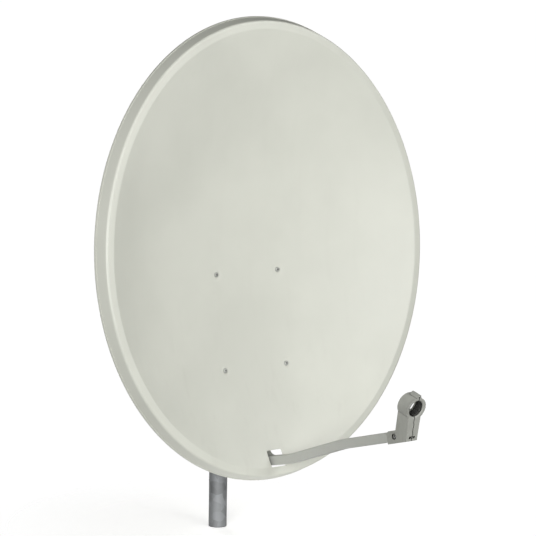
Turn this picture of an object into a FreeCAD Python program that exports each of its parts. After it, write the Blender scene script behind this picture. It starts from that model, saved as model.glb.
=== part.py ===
# Offset satellite dish on a short mast, millimetres, +Z up, the dish facing -Y.
# The origin is the centre of the mast tube's open lower end.
import FreeCAD, Part
import math
import os

Vector = FreeCAD.Vector

# ---- Reflector: a cut of a paraboloid whose lower edge starts at the vertex
aperture = 1000.0            # diameter of the beam that the bowl catches
focal_length = 500.0
sheet = 1.0                  # reflector sheet
lip_width = 16.0             # flat lip round the bowl
rim_radius = 7.0             # bend from the lip to the skirt
skirt_depth = 35.0           # from the lip's face to the skirt's edge
skirt_flare = 0.357          # outward run of the skirt per unit of depth
hem_width = 6.0              # fold along the skirt's edge
face_tilt = 3.9              # degrees that the rim leans back from upright at rest
rim_height = 760.0           # rim centre above the mast's foot
rim_forward = 210.0          # rim centre ahead of the mast's axis

# ---- Screws that hold the reflector to its mounting plate
screw_span_x = 205.0
screw_span_z = 245.0
screw_drop = 184.0           # centre of the four screws below the rim centre
screw_diameter = 6.0
screw_head_diameter = 13.0
screw_head_height = 3.2
screw_recess = 3.3           # hexagonal recess in the screw's head, across its flats
screw_clearance = 0.3        # radial, in every bolt hole that isn't a pivot

# ---- Proportions of bolts, nuts and washers, per millimetre of thread diameter
hex_across = 1.625           # across the flats of nuts and heads
head_height = 0.65
nut_height = 0.8
washer_reach = 1.06          # radius of a washer
washer_thickness = 1.6
bolt_end = 4.0               # thread that stands out of a nut

# ---- Mounting plate and its two cheeks
plate_sheet = 2.5
plate_margin_x = 26.0        # plate beyond the screws, sideways
plate_margin_top = 26.0
plate_margin_bottom = 44.0
plate_flange = 14.0          # stiffening fold along the plate's sides
plate_flange_end = 12.0      # and how far it stops short of the plate's ends
foot_height = 20.0           # plate face to the reflector's back, at a screw
foot_pad_radius = 16.0
foot_base_radius = 24.0
cheek_sheet = 3.0
cheek_foot = 30.0            # width of the fold that is bolted to the plate
cheek_margin = 13.0          # metal round the pivot and the slot
cheek_overrun = 0.12         # radians of cheek past each end of the travel
cheek_bolt_drop = 6.0        # lower cheek bolt below the pivot, along the plate
cheek_bolt_rise = 0.85       # upper one above it, per millimetre of slot radius
cheek_fold_margin = 16.0     # fold beyond its bolts

# ---- Mast and its clamps
mast_diameter = 48.3
mast_wall = 3.0
mast_above_bracket = 16.0
cap_wall = 2.5
cap_depth = 22.0
slip_gap = 0.3               # between faces of pieces that turn against each other
bracket_sheet = 4.0
bracket_margin = 24.0        # bracket beyond the centres of the U-bolts
washer_room = 2.2            # between a U-bolt's washer and the bracket's flange
clamp_span = 140.0           # between the two U-bolts
upper_clamp_rise = 107.0     # upper U-bolt above the pivot
saddle_height = 24.0
saddle_seat = 8.0            # saddle between the bracket and the mast, at its thinnest
saddle_thickness = 15.0
saddle_tooth = 1.5
saddle_tooth_pitch = 8       # degrees
rod_diameter = 8.0           # U-bolts and the bolts of the bracket

# ---- Elevation pivot
pivot_forward = 60.0         # ahead of the mast's axis
pivot_drop = 229.0           # below the rim centre
pivot_clearance = 0.06       # radial, pivot bolt in the cheek
slot_radius = 86.0           # arc of the locking slot about the pivot
slot_lean = 10.0             # degrees that the locking bolt stands behind the pivot
elevation_down = 20.0        # degrees of travel each way from rest
elevation_up = 20.0

# ---- Feed arm: square tube through an opening at the foot of the bowl
arm_side = 25.0
arm_wall = 1.5
arm_corner = 3.0
arm_rear_bend = 36.0         # radius of the arm's centre line behind the bowl
arm_front_bend = 300.0
arm_top_bend = 62.0          # where the arm lies against the mounting plate
arm_exit_slope = 8.6         # degrees that the arm climbs forward through the opening
arm_climb = 72.0             # degrees of the run that goes up behind the bowl
arm_bow = 10.0               # arm's bend above the straight line from opening to holder
arm_lap = 112.0              # length of the arm that runs up the mounting plate
arm_lap_below = 8.0          # its start below the plate's edge
arm_straight = 52.0          # from the opening to the first bend
arm_bow_place = 0.46         # second bend, as a share of the run from there to the holder
arm_bolt_span = 56.0
opening_width = 48.0
opening_height = 41.0
opening_margin = 2.0         # sheet left between the opening and the lip
opening_corner = 4.0
arm_in_opening = 17.0        # arm's centre line above the opening's lower edge

# ---- Holder for the receiver at the focus
neck_radius = 21.0
ring_wall = 7.5
ring_length = 35.5
ring_spread = 1.2            # each half's outside is this far off centre while the clamp is open
ring_chamfer = 2.2           # at the front mouth of the ring's bore
ring_flare = 5.5             # widening of the bore towards its rear mouth
ring_flare_depth = 9.0
ring_behind_focus = 53.7     # middle of the ring to the focus, along the ring's axis
ring_below_focus = 4.4
ring_pitch = 21.0            # degrees between the ring's axis and the rim's normal
rib_depth = 1.2
rib_pitch = 4.6
catch_length = 28.0          # hook that holds the two halves together over the ring
catch_rise = 6.9
stem_drop = 68.5             # middle of the ring to the holder's foot, along the rim plane
stem_set_back = 6.8          # and across it, towards the bowl
stem_half_top = 20.0
stem_half_foot = 18.0
stem_depth_top = 38.5
stem_depth_foot = 44.0
stem_wall = 4.0
holder_wall = 2.3            # holder above the arm and in front of its end
holder_floor = 4.0           # and below it
holder_gap = 0.3             # between the holder and the arm
halves_gap = 2.0             # between the holder's two halves
halves_step = 11.0           # height of one step of the joint between the halves
halves_jog = 1.6             # sideways shift from one step to the next
holder_lap = 64.0            # length of arm inside the holder
holder_slope = 8.0           # run of the slope at the holder's rear end
window_half = 9.5            # opening in front of the arm's open end
window_drop = 11.0
holder_bolt_diameter = 6.0
holder_bolt_set = 38.5       # holder's bolt behind its front face
holder_recess_radius = 7.6
holder_recess_depth = 5.0

# ---- Worked out from the sizes above
rim_angle = math.atan2(aperture, 4 * focal_length)
half_width = aperture / 2
half_height = half_width / math.cos(rim_angle)
mast_radius = mast_diameter / 2
rod_radius = rod_diameter / 2
ubolt_radius = mast_radius + slip_gap + rod_radius
bracket_back = mast_radius + slip_gap + saddle_seat
bracket_front = bracket_back + bracket_sheet
washer_radius = washer_reach * rod_diameter
bracket_half = ubolt_radius + washer_radius + washer_room + bracket_sheet
cheek_inner = bracket_half + slip_gap
cheek_outer = cheek_inner + cheek_sheet
pivot_z = rim_height - pivot_drop
upper_clamp_z = pivot_z + upper_clamp_rise
lower_clamp_z = upper_clamp_z - clamp_span
bracket_top = upper_clamp_z + bracket_margin
bracket_bottom = lower_clamp_z - bracket_margin
mast_top = bracket_top + mast_above_bracket
opening_foot = -half_height + opening_margin
arm_half = arm_side / 2

X, Y, Z = Vector(1, 0, 0), Vector(0, 1, 0), Vector(0, 0, 1)


# ---- General helpers

def to_world(shape):
    """Place a shape drawn in the rim frame (X right, Y back, Z up the rim) on the mast."""
    turn = FreeCAD.Rotation(X, -face_tilt)
    placed = shape.copy()
    placed.Placement = FreeCAD.Placement(Vector(0, -rim_forward, rim_height), turn)
    return placed


def rim_frame(y, z):
    """A world point in the plane of symmetry, given in the rim frame."""
    turn = FreeCAD.Rotation(X, face_tilt)
    return turn.multVec(Vector(0, y + rim_forward, z - rim_height))


def along(start, direction, distance):
    return start + Vector(direction).normalize() * distance


def cylinder(radius, start, direction, length):
    return Part.makeCylinder(radius, length, start, direction)


def hexagon(across, start, direction, length):
    """Hexagonal prism from its size across the flats, standing on start."""
    corner = across / math.sqrt(3)
    points = []
    for step in range(7):
        angle = math.radians(60 * step)
        points.append(Vector(corner * math.cos(angle), corner * math.sin(angle), 0))
    face = Part.Face(Part.makePolygon(points))
    face.Placement = FreeCAD.Placement(start, FreeCAD.Rotation(Z, direction))
    return face.extrude(Vector(direction).normalize() * length)


def prism(points, depth):
    """Extrude a polygon by the vector depth."""
    closed = points + [points[0]]
    return Part.Face(Part.makePolygon(closed)).extrude(depth)


def nut(start, direction, diameter):
    """Hexagonal nut with its outer corners chamfered and a plain bore."""
    height = nut_height * diameter
    body = hexagon(hex_across * diameter, start, direction, height)
    top_radius = 0.8 * diameter
    chamfer = Part.makeCone(top_radius + 1.14 * diameter, top_radius, 1.14 * diameter,
                            along(start, direction, height - diameter), direction)
    body = body.common(chamfer)
    return body.cut(cylinder(diameter / 2, start, direction, height))


def washer(start, direction, diameter):
    ring = cylinder(washer_reach * diameter, start, direction, washer_thickness)
    hole = diameter / 2 + screw_clearance
    return ring.cut(cylinder(hole, start, direction, washer_thickness))


def hex_bolt(start, direction, diameter, length):
    """Bolt whose head seats at start and whose shank runs along direction."""
    height = head_height * diameter
    head = hexagon(hex_across * diameter, along(start, direction, -height), direction, height)
    point = 1.0
    shank = cylinder(diameter / 2, start, direction, length - point)
    tip = Part.makeCone(diameter / 2, diameter / 2 - point, point,
                        along(start, direction, length - point), direction)
    return head.fuse([shank, tip]).removeSplitter()


def save(name, shapes):
    solids = []
    for shape in shapes:
        solids.extend(shape.Solids)
    body = solids[0] if len(solids) == 1 else Part.makeCompound(solids)
    body.exportStep(os.path.join("parts", name + ".step"))
    print(name, len(solids), "solid(s), valid", body.isValid(), "volume", round(body.Volume))


# ---- The paraboloid

def bowl_point(x, z):
    """Front surface of the bowl in the rim frame at (x, z), and its forward normal."""
    quarter = math.sin(rim_angle) / (4 * focal_length)
    inner = math.cos(rim_angle) ** 2 - 4 * quarter * (x * x * quarter - half_height - z)
    reach = (math.sqrt(inner) - math.cos(rim_angle)) / (2 * quarter)
    rise = (reach ** 2 + x * x) / (4 * focal_length)
    y = reach * math.sin(rim_angle) - rise * math.cos(rim_angle)
    normal = Vector(-x, 0, 0) + paraboloid_up() * -reach + paraboloid_axis() * (2 * focal_length)
    return Vector(x, y, z), normal.normalize()


def paraboloid_axis():
    return Vector(0, -math.cos(rim_angle), math.sin(rim_angle))


def paraboloid_up():
    return Vector(0, math.sin(rim_angle), math.cos(rim_angle))


def focus():
    return Vector(0, 0, -half_height) + paraboloid_axis() * focal_length


def paraboloid_arc(focal, shift, reach):
    """Half a parabola from the axis outwards, as its exact quadratic curve."""
    vertex = Vector(0, 0, -half_height) + paraboloid_axis() * shift
    curve = Part.BezierCurve()
    rise = reach ** 2 / (4 * focal)
    curve.setPoles([vertex, vertex + paraboloid_up() * (reach / 2),
                    vertex + paraboloid_up() * reach + paraboloid_axis() * rise])
    return curve.toShape(), curve.EndPoint


def bowl_shell():
    """Even sheet between two paraboloids, trimmed at the plane of the rim."""
    reach = aperture * 1.03
    thinning = math.hypot(1, aperture / (2 * focal_length)) - 1
    back_focal = focal_length + thinning * sheet * 4 * focal_length ** 2 / aperture ** 2
    front, front_end = paraboloid_arc(focal_length, 0, reach)
    back, back_end = paraboloid_arc(back_focal, -sheet, reach)
    outline = Part.Wire([front, Part.makeLine(front_end, back_end), back,
                         Part.makeLine(back.Vertexes[0].Point, front.Vertexes[0].Point)])
    shell = Part.Face(outline).revolve(Vector(0, 0, -half_height), paraboloid_axis(), 360)
    depth = aperture / 4
    keep = Part.makeBox(2.2 * half_width, depth, 2.2 * half_height,
                        Vector(-1.1 * half_width, 0, -1.1 * half_height))
    return shell.common(keep)


def rim_profile():
    """Section of lip, bend, skirt and hem; X is outwards from the bowl, Y is back."""
    length = math.hypot(skirt_flare, 1)
    down = Vector(skirt_flare / length, 1 / length, 0)
    out = Vector(1 / length, -skirt_flare / length, 0)
    centre = Vector(lip_width, rim_radius, 0)
    outer_start = centre + out * rim_radius
    outer_end = outer_start + down * ((skirt_depth - outer_start.y) / down.y)
    inner_start = centre + out * (rim_radius - sheet)
    half_turn = (out + Vector(0, -1, 0)).normalize()
    lap_front = 0.6 * sheet      # where lip and bowl share metal, on the front
    lap_back = -1.0 * sheet      # and one sheet further back
    hem_start = outer_end - down * hem_width
    bend = centre + Vector(0, -rim_radius, 0)
    inner_bend = centre + Vector(0, sheet - rim_radius, 0)
    corners = [outer_start, hem_start, hem_start + out * sheet, outer_end + out * sheet,
               outer_end - out * sheet, inner_start]
    edges = [Part.makeLine(Vector(lap_front, 0, 0), bend),
             Part.Arc(bend, centre + half_turn * rim_radius, outer_start).toShape()]
    for first, second in zip(corners, corners[1:]):
        edges.append(Part.makeLine(first, second))
    edges.append(Part.Arc(inner_start, centre + half_turn * (rim_radius - sheet),
                          inner_bend).toShape())
    edges.append(Part.makeLine(inner_bend, Vector(lap_back, sheet, 0)))
    edges.append(Part.makeLine(Vector(lap_back, sheet, 0), Vector(lap_front, 0, 0)))
    return Part.Wire(edges)


def rim_ring():
    """The rim's section carried round the edge of the bowl, an ellipse."""
    centre = Vector(0, 0, 0)
    path = Part.Wire([Part.Ellipse(Vector(0, 0, half_height), Vector(half_width, 0, 0),
                                   centre).toShape()])
    start = path.Edges[0].valueAt(path.Edges[0].FirstParameter)
    outwards = Vector(start).normalize()
    section = rim_profile()
    frame = FreeCAD.Matrix(outwards.x, 0, Y.cross(outwards).x, start.x,
                           outwards.y, 1, Y.cross(outwards).y, start.y,
                           outwards.z, 0, Y.cross(outwards).z, start.z, 0, 0, 0, 1)
    section.transformShape(frame)
    sweep = Part.BRepOffsetAPI.MakePipeShell(path)
    sweep.setBiNormalMode(Y)
    sweep.add(section)
    sweep.build()
    sweep.makeSolid()
    return sweep.shape()


def screw_places():
    """Each reflector screw: its point on the bowl and the forward normal there."""
    places = []
    for side in (-1, 1):
        for level in (-1, 1):
            z = -screw_drop + level * screw_span_z / 2
            places.append(bowl_point(side * screw_span_x / 2, z))
    return places


def opening_tool():
    box = Part.makeBox(opening_width, aperture / 8, opening_height,
                       Vector(-opening_width / 2, -aperture / 16, opening_foot))
    upright = [edge for edge in box.Edges
               if abs(edge.tangentAt(edge.FirstParameter).y) > 0.9]
    return box.makeFillet(opening_corner, upright)


def reflector():
    body = bowl_shell().fuse(rim_ring()).removeSplitter()
    body = body.cut(opening_tool())
    for point, normal in screw_places():
        body = body.cut(cylinder(screw_diameter / 2 + screw_clearance, point + normal * 5,
                                 -normal, 10))
    return body


# ---- Mounting plate

def plate_line():
    """Front face of the mounting plate at the lower and upper screws, in the rim frame."""
    ends = []
    for level in (-1, 1):
        z = -screw_drop + level * screw_span_z / 2
        point, normal = bowl_point(screw_span_x / 2, z)
        back = point - normal * (sheet + foot_height)
        ends.append(Vector(0, back.y, back.z))
    return ends


def plate_frame():
    """Origin on the plate's front face, level with the lower screws, and its up and back."""
    low, high = plate_line()
    up = (high - low).normalize()
    return low, up, X.cross(up) * -1


def plate_back():
    return plate_frame()[2]


def plate_point(x, height, depth):
    """Point at x, height above the lower screws and depth behind the plate's face."""
    origin, up, back = plate_frame()
    return origin + X * x + up * height + back * depth


def plate_height(z):
    """Height along the plate of the point at z in the rim frame."""
    origin, up = plate_frame()[:2]
    return (z - origin.z) / up.z


def plate_box(x0, x1, h0, h1, d0, d1):
    corners = [plate_point(x0, h0, d0), plate_point(x1, h0, d0),
               plate_point(x1, h1, d0), plate_point(x0, h1, d0)]
    return prism(corners, plate_back() * (d1 - d0))


def foot_shell(point, normal):
    """Hollow pressed foot from the plate to the back of the reflector."""
    origin, back = plate_frame()[0], plate_back()
    pad = point - normal * sheet
    middle = pad - back * ((pad - origin).dot(back))
    outer = Part.makeLoft([Part.Wire(Part.makeCircle(foot_base_radius, middle, back)),
                           Part.Wire(Part.makeCircle(foot_pad_radius, pad, normal * -1))],
                          True, True)
    inner_pad = pad - normal * plate_sheet
    inner = Part.makeLoft([
        Part.Wire(Part.makeCircle(foot_base_radius - plate_sheet,
                                  middle + back * (plate_sheet + 1), back)),
        Part.Wire(Part.makeCircle(foot_pad_radius - plate_sheet, inner_pad, normal * -1))],
        True, True)
    return outer, inner


def cheek_bolt_heights():
    pivot = rim_frame(-pivot_forward, pivot_z)
    low = plate_height(pivot.z) - cheek_bolt_drop
    return [low, low + slot_radius * cheek_bolt_rise]


def arm_bolt_heights():
    low = -plate_margin_bottom + 2 * rod_diameter
    return [low, low + arm_bolt_span]


def arm_lap_foot():
    """Lower end of the arm's run along the plate, just below the plate's edge."""
    return -plate_margin_bottom - arm_lap_below


def mounting_plate():
    width = screw_span_x / 2 + plate_margin_x
    low, high = -plate_margin_bottom, screw_span_z + plate_margin_top
    body = plate_box(-width, width, low, high, 0, plate_sheet)
    for side in (-1, 1):
        inner = side * (width - plate_sheet)
        body = body.fuse(plate_box(min(inner, side * width), max(inner, side * width),
                                   low + plate_flange_end, high - plate_flange_end,
                                   0, plate_flange))
    hollows = []
    for point, normal in screw_places():
        outer, inner = foot_shell(point, normal)
        body = body.fuse(outer)
        hollows.append(inner)
        hollows.append(cylinder(screw_diameter / 2 + screw_clearance, point, normal * -1,
                                3 * sheet + 3 * plate_sheet))
    back = plate_back()
    for side in (-1, 1):
        for height in cheek_bolt_heights():
            hollows.append(cylinder(rod_radius + screw_clearance,
                                    plate_point(side * cheek_bolt_x(), height, -1), back,
                                    plate_sheet + 2))
    for height in arm_bolt_heights():
        hollows.append(cylinder(rod_radius + screw_clearance, plate_point(0, height, -1), back,
                                plate_sheet + 2))
    for hollow in hollows:
        body = body.cut(hollow)
    return body.removeSplitter()


def cheek_bolt_x():
    return cheek_outer + cheek_foot / 2


def cheek_outline():
    """Outline of a cheek in the rim frame, from the plate back round the slot and pivot."""
    pivot = rim_frame(-pivot_forward, pivot_z)
    reach = slot_radius + rod_radius + cheek_margin
    lean = math.radians(slot_lean)
    first = lean - math.radians(elevation_down) - cheek_overrun
    last = lean + math.radians(elevation_up) + cheek_overrun
    tilt = math.radians(face_tilt)
    arc = []
    for step in range(9):
        angle = first + (last - first) * step / 8 - tilt
        arc.append(pivot + Vector(0, reach * math.sin(angle), reach * math.cos(angle)))
    return pivot, arc


def slot_tool(pivot, side):
    """Curved slot about the pivot, as long as the travel needs."""
    middle_angle = math.radians(slot_lean - face_tilt)
    first = middle_angle - math.radians(elevation_up + 0.8)
    last = middle_angle + math.radians(elevation_down + 0.8)
    half = rod_radius + screw_clearance

    def at(angle, radius):
        return pivot + Vector(0, radius * math.sin(angle), radius * math.cos(angle))

    outline = Part.Wire([
        Part.Arc(at(first, slot_radius - half), at(middle_angle, slot_radius - half),
                 at(last, slot_radius - half)).toShape(),
        Part.makeLine(at(last, slot_radius - half), at(last, slot_radius + half)),
        Part.Arc(at(last, slot_radius + half), at(middle_angle, slot_radius + half),
                 at(first, slot_radius + half)).toShape(),
        Part.makeLine(at(first, slot_radius + half), at(first, slot_radius - half))])
    face = Part.Face(outline)
    start = X * (side * (cheek_inner - 1) if side > 0 else -cheek_outer - 1)
    face.translate(start)
    tool = face.extrude(X * (cheek_sheet + 2))
    for angle in (first, last):
        tool = tool.fuse(cylinder(half, at(angle, slot_radius) + start, X, cheek_sheet + 2))
    return tool


def cheek(side):
    """Side plate that carries the pivot and the locking slot, with a fold on the plate."""
    pivot, arc = cheek_outline()
    foot_low = cheek_bolt_heights()[0] - cheek_fold_margin
    foot_high = cheek_bolt_heights()[1] + cheek_fold_margin
    back_reach = rod_radius + cheek_margin
    outline = [plate_point(0, foot_low, plate_sheet)]
    outline.append(pivot + Vector(0, -0.4 * back_reach, -1.1 * back_reach))
    outline.append(pivot + Vector(0, 0.7 * back_reach, -0.85 * back_reach))
    outline.append(pivot + Vector(0, 1.1 * back_reach, 0.2 * back_reach))
    outline.extend(reversed(arc))
    outline.append(plate_point(0, foot_high, plate_sheet))
    start = X * (cheek_inner if side > 0 else -cheek_outer)
    body = prism([point + start for point in outline], X * cheek_sheet)
    inner, outer = sorted((side * cheek_inner, side * (cheek_outer + cheek_foot)))
    body = body.fuse(plate_box(inner, outer, foot_low, foot_high, plate_sheet,
                               plate_sheet + cheek_sheet))
    back = plate_back()
    for height in cheek_bolt_heights():
        body = body.cut(cylinder(rod_radius + screw_clearance,
                                 plate_point(side * cheek_bolt_x(), height, 0), back, 20))
    bore_start = X * (side * (cheek_inner - 1)) + pivot
    body = body.cut(cylinder(rod_radius + pivot_clearance, bore_start, X * side, cheek_sheet + 2))
    return body.cut(slot_tool(pivot, side)).removeSplitter()


# ---- Fasteners on the dish

def reflector_screw(point, normal):
    """Low round head with a hexagonal recess, on the bowl's face, and its shank."""
    reach = sheet + plate_sheet + nut_height * screw_diameter + bolt_end
    dome_radius = (screw_head_diameter ** 2 / 4 + screw_head_height ** 2) / (2 * screw_head_height)
    ball = Part.makeSphere(dome_radius, point + normal * (screw_head_height - dome_radius + 0.15))
    head = ball.common(cylinder(screw_head_diameter / 2, point + normal * 0.15, normal,
                                screw_head_height))
    body = head.fuse(cylinder(screw_diameter / 2, point + normal * 0.5, normal * -1, reach + 0.5))
    floor = point + normal * (screw_head_height / 2)
    recess = hexagon(screw_recess, floor, normal, screw_head_height)
    return body.cut(recess).removeSplitter()


def reflector_screws():
    return [reflector_screw(point, normal) for point, normal in screw_places()]


def reflector_nuts():
    seat = sheet + plate_sheet
    return [nut(point - normal * seat, normal * -1, screw_diameter)
            for point, normal in screw_places()]


def cheek_fasteners():
    bolts, nuts = [], []
    back = plate_back()
    stack = plate_sheet + cheek_sheet
    for side in (-1, 1):
        for height in cheek_bolt_heights():
            start = plate_point(side * cheek_bolt_x(), height, 0)
            bolts.append(hex_bolt(start, back, rod_diameter, stack + nut_height * rod_diameter + bolt_end))
            nuts.append(nut(start + back * stack, back, rod_diameter))
    return bolts, nuts


def arm_fasteners():
    bolts, nuts = [], []
    back = plate_back()
    stack = plate_sheet + arm_side
    for height in arm_bolt_heights():
        start = plate_point(0, height, 0)
        bolts.append(hex_bolt(start, back, rod_diameter, stack + nut_height * rod_diameter + bolt_end))
        nuts.append(nut(start + back * stack, back, rod_diameter))
    return bolts, nuts


# ---- Feed arm

def ring_axis():
    """Direction from the ring to the bowl."""
    pitch = math.radians(ring_pitch)
    return Vector(0, math.cos(pitch), math.sin(pitch))


def ring_up():
    pitch = math.radians(ring_pitch)
    return Vector(0, -math.sin(pitch), math.cos(pitch))


def ring_centre():
    return focus() - ring_axis() * ring_behind_focus - ring_up() * ring_below_focus


def arm_corners():
    """Corners of the arm's centre line in the rim frame, from the holder to the plate."""
    slope = math.radians(arm_exit_slope)
    climb = math.radians(arm_climb)
    tip = ring_centre() + Vector(0, stem_set_back, -stem_drop)
    exit_point = Vector(0, 0, opening_foot + arm_in_opening)
    shoulder = exit_point + Vector(0, -math.cos(slope), math.sin(slope)) * arm_straight
    chord = tip - shoulder
    bend = shoulder + chord * arm_bow_place + Vector(0, 0, arm_bow)
    rest = plate_point(0, arm_lap_foot(), plate_sheet + arm_half)
    top = rest + plate_frame()[1] * arm_lap
    rise = Vector(0, math.cos(climb), math.sin(climb))
    run = Vector(0, math.cos(slope), -math.sin(slope))
    # Where the climbing run, drawn down from the plate, meets the run through the opening.
    gap = exit_point - rest
    reach = (gap.y * run.z - gap.z * run.y) / (rise.y * run.z - rise.z * run.y)
    heel = rest + rise * reach
    return [tip, bend, shoulder, heel, rest, top]


def arm_start():
    """Open end of the arm, just behind the holder's front wall."""
    tip, bend = arm_corners()[:2]
    return along(tip, bend - tip, holder_wall + holder_gap)


def arm_path():
    """The arm's centre line: straight runs joined by tangent arcs."""
    corners = arm_corners()
    radii = [arm_front_bend, arm_front_bend, arm_rear_bend, arm_top_bend]
    edges = []
    here = arm_start()
    for corner, following, radius in zip(corners[1:], corners[2:], radii):
        before = (corner - here).normalize()
        after = (following - corner).normalize()
        turn = before.getAngle(after)
        setback = radius * math.tan(turn / 2)
        first, last = corner - before * setback, corner + after * setback
        inward = (after - before).normalize()
        middle = corner + inward * (radius / math.cos(turn / 2) - radius)
        edges.append(Part.makeLine(here, first))
        edges.append(Part.Arc(first, middle, last).toShape())
        here = last
    edges.append(Part.makeLine(here, corners[-1]))
    return Part.Wire(edges)


def square_section(side, corner, start, direction):
    """Rounded square about start, square to direction, with two sides along X."""
    other = X.cross(direction).normalize()
    half = side / 2
    box = Part.makePolygon([start + X * a * half + other * b * half
                            for a, b in ((-1, -1), (1, -1), (1, 1), (-1, 1), (-1, -1))])
    solid = Part.Face(box).extrude(direction)
    lengthwise = [edge for edge in solid.Edges
                  if abs(edge.tangentAt(edge.FirstParameter).dot(direction)) > 0.9]
    rounded = solid.makeFillet(corner, lengthwise)
    for face in rounded.Faces:
        if abs(face.normalAt(0, 0).dot(direction)) > 0.99:
            if (face.CenterOfMass - start).Length < 0.5:
                return face.OuterWire
    return None


def sweep_square(side, corner):
    path = arm_path()
    start = arm_start()
    direction = (arm_corners()[1] - start).normalize()
    sweep = Part.BRepOffsetAPI.MakePipeShell(path)
    sweep.setBiNormalMode(X)
    sweep.add(square_section(side, corner, start, direction))
    sweep.build()
    sweep.makeSolid()
    return sweep.shape()


def feed_arm():
    tube = sweep_square(arm_side, arm_corner)
    tube = tube.cut(sweep_square(arm_side - 2 * arm_wall, arm_corner - arm_wall))
    back = plate_back()
    for height in arm_bolt_heights():
        tube = tube.cut(cylinder(rod_radius + screw_clearance, plate_point(0, height, 0), back,
                                 arm_side + 10))
    bolt = holder_bolt_place()
    return tube.cut(cylinder(holder_bolt_diameter / 2 + screw_clearance, bolt - X * arm_side, X,
                             2 * arm_side))


# ---- Receiver holder, in two halves that meet near the plane of symmetry

def arm_tip_frame():
    """Front of the holder on the arm's line, the backward direction and the one square to it, upwards."""
    tip, bend = arm_corners()[0], arm_corners()[1]
    back = (bend - tip).normalize()
    return tip, back, back.cross(X).normalize() * -1


def holder_bolt_place():
    tip, back = arm_tip_frame()[:2]
    return tip + back * holder_bolt_set


def ring_outer():
    start = ring_centre() - ring_axis() * (ring_length / 2)
    sides = [cylinder(neck_radius + ring_wall, start + X * shift, ring_axis(), ring_length)
             for shift in (-ring_spread, ring_spread)]
    return sides[0].fuse(sides[1])


def grip_length():
    return ring_length - ring_chamfer - ring_flare_depth


def grip_centre():
    """Middle of the even part of the ring's bore, between its chamfer and its flare."""
    return ring_centre() - ring_axis() * ((ring_flare_depth - ring_chamfer) / 2)


def ring_bore():
    """Bore with shallow grooves round it, so that it grips the receiver's neck."""
    axis, middle = ring_axis(), grip_centre()
    bore = cylinder(neck_radius, middle - axis * ring_length, axis, 2 * ring_length)
    count = int(grip_length() // rib_pitch)
    for step in range(count):
        offset = (step - (count - 1) / 2) * rib_pitch - rib_pitch / 4
        bore = bore.fuse(cylinder(neck_radius + rib_depth, middle + axis * offset, axis,
                                  rib_pitch / 2))
    return bore


def stem_outline(inset):
    """Loft from the foot on the arm up into the ring's wall, drawn in by inset."""
    tip, back, up = arm_tip_frame()
    outer = neck_radius + ring_wall
    merge = outer - math.sqrt(outer ** 2 - stem_half_top ** 2) + 1
    front = ring_centre() - ring_axis() * (ring_length / 2) - ring_up() * (outer - merge)
    low_front = tip + back * inset - up * (arm_half + holder_floor - inset)
    low_back = low_front + back * (stem_depth_foot - 2 * inset)
    top_front = front + ring_axis() * inset
    top_back = top_front + ring_axis() * (stem_depth_top - 2 * inset)
    levels = ((stem_half_foot - inset, low_front, low_back),
              (stem_half_top - inset, top_front, top_back))
    wires = []
    for half, first, last in levels:
        wires.append(Part.makePolygon([first - X * half, first + X * half, last + X * half,
                                       last - X * half, first - X * half]))
    return Part.makeLoft(wires, True, True)


def arm_block(half_x, above, below, start, length, slope=0):
    """Block along the arm's line, from start to start + length behind the holder's front."""
    tip, back, up = arm_tip_frame()
    first, last = tip + back * start, tip + back * (start + length)
    side = [first - up * below, last - up * below, last + up * (above - slope * 0.6),
            last - back * slope + up * above, first + up * above]
    if not slope:
        side.pop(2)
    return prism([point - X * half_x for point in side], X * (2 * half_x))


def ring_prism(section, length):
    """Prism along the top of the ring, from its front; section holds (x, radius) corners."""
    base = ring_centre() - ring_axis() * (ring_length / 2)
    corners = [base + X * x + ring_up() * radius for x, radius in section]
    return prism(corners, ring_axis() * length)


def ring_mouths():
    """Cones that widen the bore at its front and rear mouths."""
    centre, axis = ring_centre(), ring_axis()
    cones = []
    for way, rise, depth in ((-1, ring_chamfer, ring_chamfer), (1, ring_flare, ring_flare_depth)):
        mouth = centre + axis * (way * ring_length / 2)
        beyond = 1.0
        cones.append(Part.makeCone(neck_radius + rise * (1 + beyond / depth), neck_radius,
                                   depth + beyond, mouth + axis * (way * beyond), axis * -way))
    rear = centre + axis * (ring_length / 2)
    cones.append(cylinder(neck_radius + ring_flare, rear, axis, stem_depth_top))
    return cones


def holder_body():
    outer = ring_outer().fuse(stem_outline(0))
    outer = outer.fuse(arm_block(stem_half_foot, arm_half + holder_wall, arm_half + holder_floor,
                                 0, holder_lap, holder_slope))
    hollow = stem_outline(stem_wall).cut(ring_outer())
    body = outer.cut(hollow)
    socket = arm_half + holder_gap
    body = body.cut(arm_block(socket, socket, socket, holder_wall, holder_lap))
    body = body.cut(arm_block(window_half, 0, window_drop, -2 * holder_wall, 6 * holder_wall))
    body = body.cut(ring_bore())
    for cone in ring_mouths():
        body = body.cut(cone)
    bolt = holder_bolt_place()
    body = body.cut(cylinder(holder_bolt_diameter / 2 + screw_clearance,
                             bolt - X * 2 * stem_half_foot, X, 4 * stem_half_foot))
    for side in (-1, 1):
        start = bolt + X * side * (stem_half_foot - holder_recess_depth)
        body = body.cut(cylinder(holder_recess_radius, start, X * side, stem_half_foot))
    return body


def split_tool(shift):
    """Everything left of the stepped joint between the two halves."""
    centre = ring_centre()
    top = centre.z + 2 * (neck_radius + ring_wall)
    count = int((top - arm_corners()[0].z) / halves_step) + 5
    left, front = -4 * neck_radius, centre.y - 6 * neck_radius
    points = [Vector(left, front, top), Vector(shift, front, top)]
    for index in range(count):
        z = top - halves_step * index
        x = shift + (halves_jog if index % 2 else 0)
        points.append(Vector(x, front, z - 2))
        points.append(Vector(x, front, z - halves_step + 2))
    points.append(Vector(left, front, top - halves_step * count))
    return prism(points, Y * (12 * neck_radius))


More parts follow.
